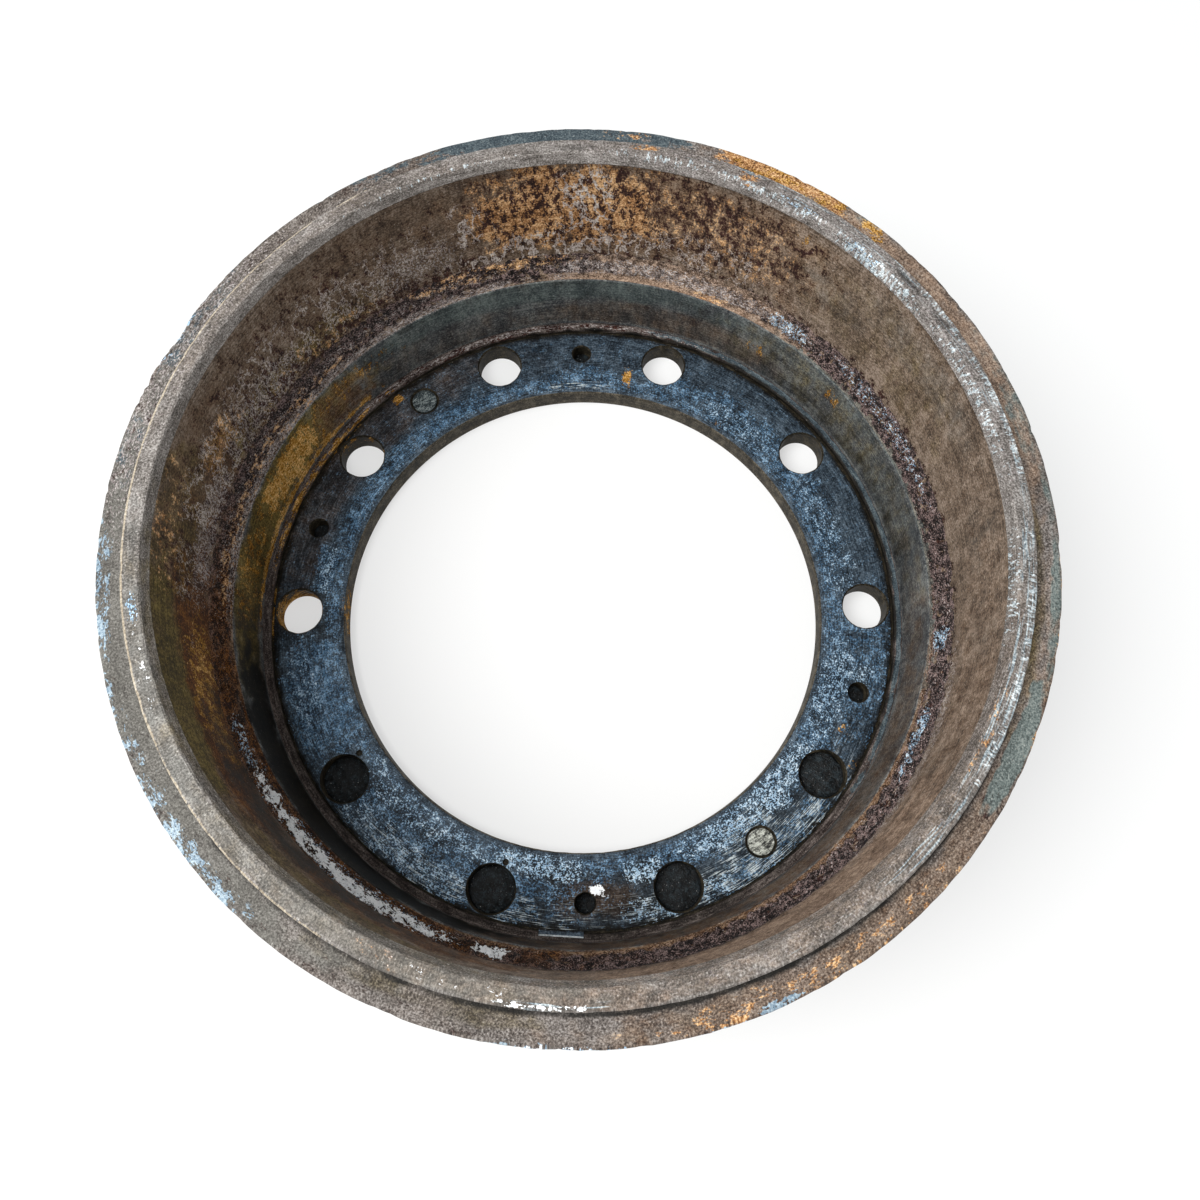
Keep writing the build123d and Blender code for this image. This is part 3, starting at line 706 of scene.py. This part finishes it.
def ironMaterial(look):
    material = bpy.data.materials.new(look["name"])
    tree = emptyTree(material)
    place = addNode(tree, "Group", node_tree=turned)
    noises = {}

    def fieldOf(length, width):
        # noise drawn out round the axis, down to the finest grain that shows; layers of one size share it
        key = (round(length, 2), round(width, 2))
        if key not in noises:
            around, across = truestRadius / (length * mm), 1 / (width * mm)
            at = addNode(tree, "VectorMath", {0: place, 1: (around, around, across)}, operation="MULTIPLY")
            detail = max(0.5, log2(min(length, width) / pattern["finestGrain"]))
            noises[key] = addNode(tree, "TexNoise", {"Vector": at, "Scale": 1.0, "Detail": detail,
                                                     "Roughness": pattern["detail"]}).outputs["Fac"]
        return noises[key]

    def mathOf(kind, *values, **settings):
        return addNode(tree, "Math", dict(enumerate(values)), operation=kind, **settings)

    def sums(a, gain, b):
        return mathOf("MULTIPLY_ADD", a, gain, b)

    def rampOf(colours):
        ramp = addNode(tree, "ValToRGB", {"Fac": tone})
        ramp.color_ramp.elements.new(0.5)
        for element, spot, colour in zip(ramp.color_ramp.elements, pattern["rampSpots"], colours.split()):
            element.position, element.color = spot, linearColour(colour)
        return ramp.outputs["Color"]

    def stepOf(value, low, high, top=1.0):
        return addNode(tree, "MapRange", {"Value": value, "From Min": low, "From Max": high, "To Min": 0.0,
                                          "To Max": top}, interpolation_type="SMOOTHSTEP")

    def over(mask, below, above, kind="RGBA"):
        below, above = [linearColour(v) if isinstance(v, str) else v for v in (below, above)]
        first, second, result = {"RGBA": (6, 7, 2), "FLOAT": (2, 3, 0)}[kind]  # sockets of that kind
        return addNode(tree, "Mix", {0: mask, first: below, second: above}, data_type=kind).outputs[result]

    drawnRound, drawnAcross = look["drawn"]
    grain = fieldOf(look["grain"], look["grain"])
    edges = {kind: fieldOf(size * drawnRound, size * drawnAcross) for kind, size in pattern["edges"].items()}
    edges["marks"] = fieldOf(*look["marks"])
    layers = look["layers"].split()
    if "silver" in layers:
        edges["strokes"] = fieldOf(*pattern["strokes"])
    edges["ragged"] = sums(edges["fine"], 0.5, sums(edges["small"], 1.0, -0.25))
    edges["speckled"] = sums(edges["fine"], 1.0, sums(edges["small"], 0.6, -0.3))
    blotches = fieldOf(look["blotch"] * drawnRound, look["blotch"] * drawnAcross)
    tone = 0.5 - 0.5 * sum(look["gains"])  # runs from 0 in the hollows to 1 on the high spots
    for field, gain in zip((blotches, edges["small"], grain, edges["marks"]), look["gains"]):
        tone = sums(field, gain, tone)

    colour = rampOf(look["colours"])
    height = sums(tone, look["relief"], 0.0)
    rough = sums(grain, pattern["roughSpread"], look["rough"] - 0.5 * pattern["roughSpread"])
    for layer in layers:
        edgeKind, wander, soft, layerRough, proud, colours = layerLooks[layer]
        amount = addNode(tree, "Attribute", attribute_name=layer).outputs["Fac"]
        edge = edges[edgeKind]
        if layer == "veins":  # lines where the noise crosses its middle value
            edge = sums(mathOf("ABSOLUTE", sums(edge, 2.0, -1.0)), *pattern["veins"])
        level = mathOf("ADD", sums(edge, wander, -0.5 * wander), amount)
        gate = mathOf("MULTIPLY", amount, pattern["gate"], use_clamp=True)
        mask = mathOf("MULTIPLY", stepOf(level, 0.5 - soft, 0.5 + soft), gate)
        colour = over(mask, colour, rampOf(colours))
        rough = over(mask, rough, layerRough, "FLOAT")
        if proud:
            height = sums(mask, proud, height)
    pits = stepOf(edges["fine"], *pattern["pits"], look["pits"])
    colour = over(pits, colour, look["colours"].split()[0])
    height = sums(pits, -pattern["pitDepth"] * look["relief"], height)
    specks = stepOf(grain, *pattern["specks"], look["specks"])
    colour = over(specks, colour, pattern["speckColour"])
    bump = addNode(tree, "Bump", {"Height": height, "Strength": 1.0, "Distance": mm})
    shader = addNode(tree, "BsdfPrincipled", {"Base Color": colour, "Roughness": rough, "Metallic": look["metal"],
                                              "Normal": bump, "Specular IOR Level": look["shine"]})
    addNode(tree, "OutputMaterial", {"Surface": shader})
    return material


zoneMaterials = {zone: ironMaterial(look) for zone, look in zoneLooks.items()}
print("iron, rust and dirt mixed")


def dressIron(mesh):
    # gives each face its zone's material, and each vertex its share of every layer
    points = pointsOf(mesh)
    zoneNames = np.array([zoneOf((x * x + y * y) ** 0.5, z) for x, y, z in points])
    paintStains(mesh, zoneNames, points)
    mesh.materials.clear()
    faceZones = list(dict.fromkeys(bounds[0] for bounds in zoneBounds)) + ["holeWall"]
    for zone in faceZones:
        mesh.materials.append(zoneMaterials[zone])
    inner, outer, low, high = holeWalls
    for face in mesh.polygons:
        middle = face.center / mm
        r = (middle.x ** 2 + middle.y ** 2) ** 0.5
        isWall = inner < r < outer and low < middle.z < high
        face.material_index = faceZones.index("holeWall" if isWall else zoneOf(r, middle.z))
    roughenIron(mesh, zoneNames, points)


drumMesh = cutHoles(turnSection())
print("drum mesh", len(drumMesh.vertices), "vertices", len(drumMesh.loops) - 2 * len(drumMesh.polygons), "triangles")
dressIron(drumMesh)
drumPiece = finishPiece(drumMesh, "drumCasting", casting["smoothAngle"])
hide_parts("brake_drum")

scale = {
    "around": 1440,  # sections round the axis
    "line": ((190.6, 64.15), (191.4, 64.55), (197.0, 74.0), (197.0, 82.0)),  # the iron's skin under it, mm
    "step": 0.8, "buried": 1.3, "thickest": 2.8,  # spacing of its rings, depth of its back, thickness, mm
    "middle": 71.2, "halfWidth": 8.2,             # height of its middle, half its width, mm
    "wider": (2.2, 1.3, 268, 50),                 # mm wider here: mm, level, angle and spread in degrees
    "thinner": ((0.55, 196, 24), (0.35, 38, 26)),  # share by which it is thinner, at that angle and spread
    "lumps": (4.2, 0.55, 1.25), "grit": (1.5, 0.8),  # size in mm, and how much each adds
    "sunk": 0.45, "lowest": -0.9, "highest": 2.6,    # mm: how far it starts below the skin, and its limits
    "smoothAngle": 60,
}


def makeScale():
    # a ring of rust scale that swells out of the shoulder and dies away into the track
    bm = bmesh.new()
    verts = [bm.verts.new((r * mm, 0, z * mm)) for r, z in scale["line"]]
    edges = [bm.edges.new(pair) for pair in zip(verts, verts[1:])]
    for edge in edges:
        bmesh.ops.subdivide_edges(bm, edges=[edge], cuts=int(edge.calc_length() / mm / scale["step"]))
    back = bmesh.ops.duplicate(bm, geom=bm.verts[:] + bm.edges[:])["geom"]
    bmesh.ops.translate(bm, verts=vertsIn(back), vec=(scale["buried"] * mm, 0, -0.5 * scale["buried"] * mm))
    ends = sorted((v for v in bm.verts if len(v.link_edges) == 1), key=lambda v: v.co.z)
    bm.edges.new(ends[:2])
    bm.edges.new(ends[2:])
    spinInSlices(bm, scale["around"])
    bmesh.ops.recalc_face_normals(bm, faces=bm.faces)
    mesh = meshFrom(bm, "rustScale")
    points = pointsOf(mesh)
    angle, r, z = polarOf(points)
    normals = vectorsOf(mesh.vertex_normals, "vector")
    lineR, lineZ = np.array(scale["line"]).T
    outer = np.abs(r - np.interp(z, lineZ, lineR)) < 0.25  # mm, so only the side that shows moves
    more, level, where, spread = scale["wider"]
    halfWidth = scale["halfWidth"] + more * np.clip(level - np.abs(turnFrom(angle, where)) / spread, 0, 1)
    body = np.clip(1 - ((z - scale["middle"]) / halfWidth) ** 2, 0, 1)
    thick = np.ones(len(points))
    for share, where, spread in scale["thinner"]:
        thick -= share * np.clip(1 - np.abs(turnFrom(angle, where)) / spread, 0, 1)
    lumpSize, lumpLevel, lumpGain = scale["lumps"]
    gritSize, gritGain = scale["grit"]
    lumps = noiseAt(points, lumpSize, 21, 4)
    grit = noiseAt(points, gritSize, 22, 2)
    height = scale["thickest"] * body * thick * (lumpLevel + lumpGain * lumps) + gritGain * grit * body
    height = np.clip(height - scale["sunk"], scale["lowest"], scale["highest"]) * outer
    movePoints(mesh, points + normals * height[:, None])
    paintStains(mesh, np.full(len(points), "shoulder"), points)
    mesh.materials.append(zoneMaterials["crust"])
    print("rust scale", len(mesh.vertices), "vertices", 2 * len(mesh.polygons), "triangles")
    finishPiece(mesh, "rustScale", scale["smoothAngle"])


makeScale()

# dark fillers put in the lower holes, painted shade where the floor below them lies in shadow
holeShadeFill = {
    # angles of the filled holes, hole in the casting, height of the clump in mm, subdivisions
    "studHoles": ((180, 216, 252, 288), "studHole", 8.0, 5), "smallHoles": ((54, 126, 234, 306), "screwHole", 4.0, 4),
    "bite": 0.25, "foot": 0.4, "blunt": 1.35,  # mm into the wall, mm off the wheel face, how flat its sides are
    "lumps": (5.5, 0.9), "grit": (1.6, 0.3),   # size and height, mm
    "liftFrom": 4, "liftOver": 2,              # lumps only rise above this height, over this far, mm
    "smoothAngle": 80,
}


def makeHoleShadeFill():
    # dark clumps in some of the holes, lumpy on top and flat beneath: painted shade standing in for the shaded floor
    # seen through the open holes
    bm = bmesh.new()
    for group in ("studHoles", "smallHoles"):
        angles, hole, top, subdivisions = holeShadeFill[group]
        radius = casting[hole][0] + holeShadeFill["bite"]
        for angle in angles:
            verts = bmesh.ops.create_icosphere(bm, subdivisions=subdivisions, radius=1)["verts"]
            for vert in verts:
                side = Vector((vert.co.x, vert.co.y, 0)) * holeShadeFill["blunt"]
                if side.length > 1:
                    side.normalize()
                height = (0.5 + 0.5 * vert.co.z) * top + holeShadeFill["foot"]
                vert.co = Vector((side.x * radius, side.y * radius, height)) * mm
            bmesh.ops.translate(bm, verts=verts, vec=onCircle(angle, casting["boltCircle"]) * mm)
    mesh = meshFrom(bm, "holeShadeFill")
    points = pointsOf(mesh)
    up = np.clip((points[:, 2] - holeShadeFill["liftFrom"]) / holeShadeFill["liftOver"], 0, 1)
    flat = points * (1, 1, 0)
    lumpSize, lumpHeight = holeShadeFill["lumps"]
    gritSize, gritHeight = holeShadeFill["grit"]
    points[:, 2] += (noiseAt(flat, lumpSize, 31, 3) * lumpHeight + noiseAt(flat, gritSize, 32) * gritHeight) * up
    movePoints(mesh, points)
    mesh.materials.append(zoneMaterials["holeShade"])
    print("hole shade fill", len(mesh.vertices), "vertices")
    finishPiece(mesh, "holeShadeFill", holeShadeFill["smoothAngle"])


makeHoleShadeFill()

# the two plugs keep their solids
plugLooks = {
    # filed flush: pale neutral metal with coarse marks and dark pits
    "plug_near": dict(name="scraped bright steel plug", colours="#2A2B2A #85877F #C9CCC2", blotch=3.2, grain=0.8,
        marks=(9, 0.6), gains=(1.6, 0.8, 1.2, 1.0), drawn=(1.6, 0.7), pits=0.8, specks=0.6, rough=0.42, metal=0.55,
        shine=0.4, relief=0.12, layers=""),
    # dark green grey with a soft gleam
    "plug_far": dict(name="dull greasy steel plug", colours="#14181A #3E484B #8E9796", blotch=4, grain=0.9,
        marks=(9, 0.8), gains=(1.4, 0.8, 1.2, 0.8), drawn=(1.6, 0.7), pits=0.6, specks=0.5, rough=0.5, metal=0.4,
        shine=0.3, relief=0.12, layers=""),
}
for node, look in plugLooks.items():
    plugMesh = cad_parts[node].data
    plugMesh.materials.clear()
    plugMesh.materials.append(ironMaterial(look))
print("plugs dressed")
